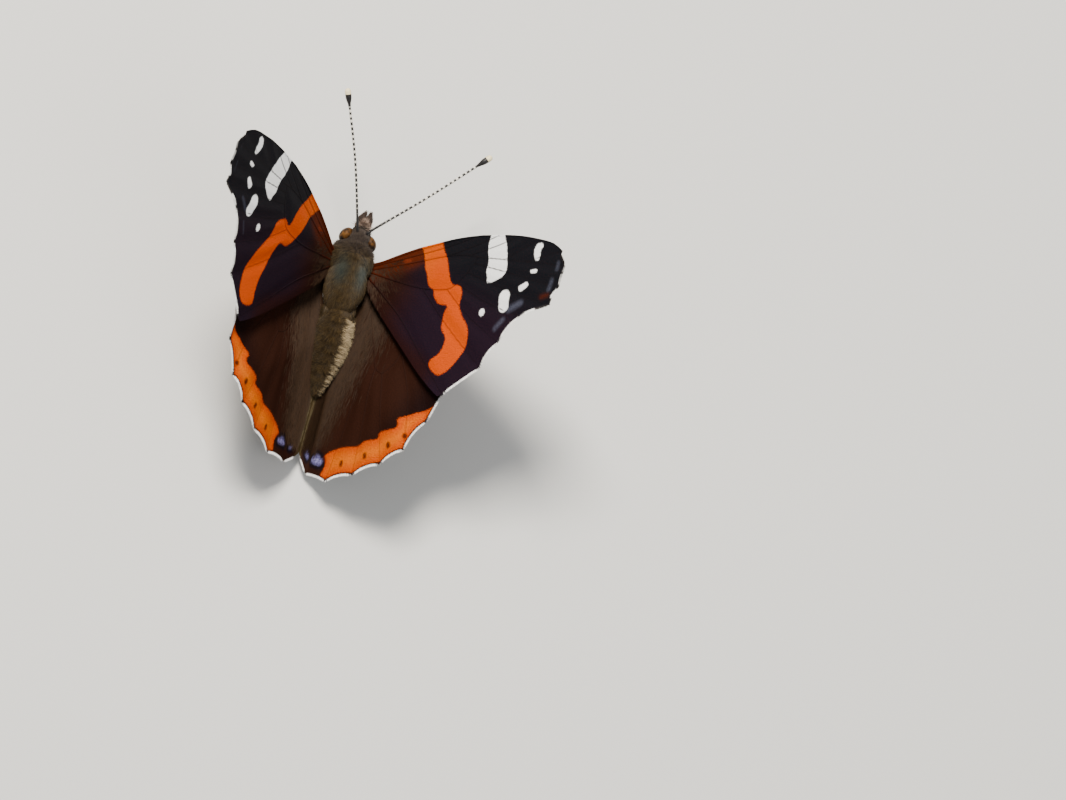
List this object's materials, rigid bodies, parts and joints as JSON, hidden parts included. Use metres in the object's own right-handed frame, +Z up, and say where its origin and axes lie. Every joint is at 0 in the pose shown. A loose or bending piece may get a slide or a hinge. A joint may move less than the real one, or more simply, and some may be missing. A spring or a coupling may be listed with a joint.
{
  "type": "butterfly",
  "caption": "Red admiral butterfly at rest with its wings half raised, a still life-size museum model standing on its legs.",
  "frame": {"origin": "centre of the bounding box's bottom face, on the floor under the body", "axes": "+Y forward along the body to the head, +X to the butterfly's right, +Z up"},
  "size_m": [0.0396, 0.0416, 0.0324],
  "materials": {
    "wing_scales": "matte",
    "dark_scales": "matte",
    "brown_scales": "matte",
    "eye": "satin",
    "feeler": "satin",
    "leg": "satin"
  },
  "bodies": {
    "root": {"abdomen": "brown_scales", "antenna_left": "feeler", "antenna_right": "feeler", "eye_left": "eye", "eye_right": "eye", "foreleg_left": "brown_scales", "foreleg_right": "brown_scales", "forewing_left": "wing_scales", "forewing_right": "wing_scales", "head": "brown_scales", "hindleg_left": "leg", "hindleg_right": "leg", "hindwing_left": "wing_scales", "hindwing_right": "wing_scales", "midleg_left": "leg", "midleg_right": "leg", "palp_left": "brown_scales", "palp_right": "brown_scales", "thorax": "dark_scales", "tongue": "feeler"}
  },
  "joints": []
}
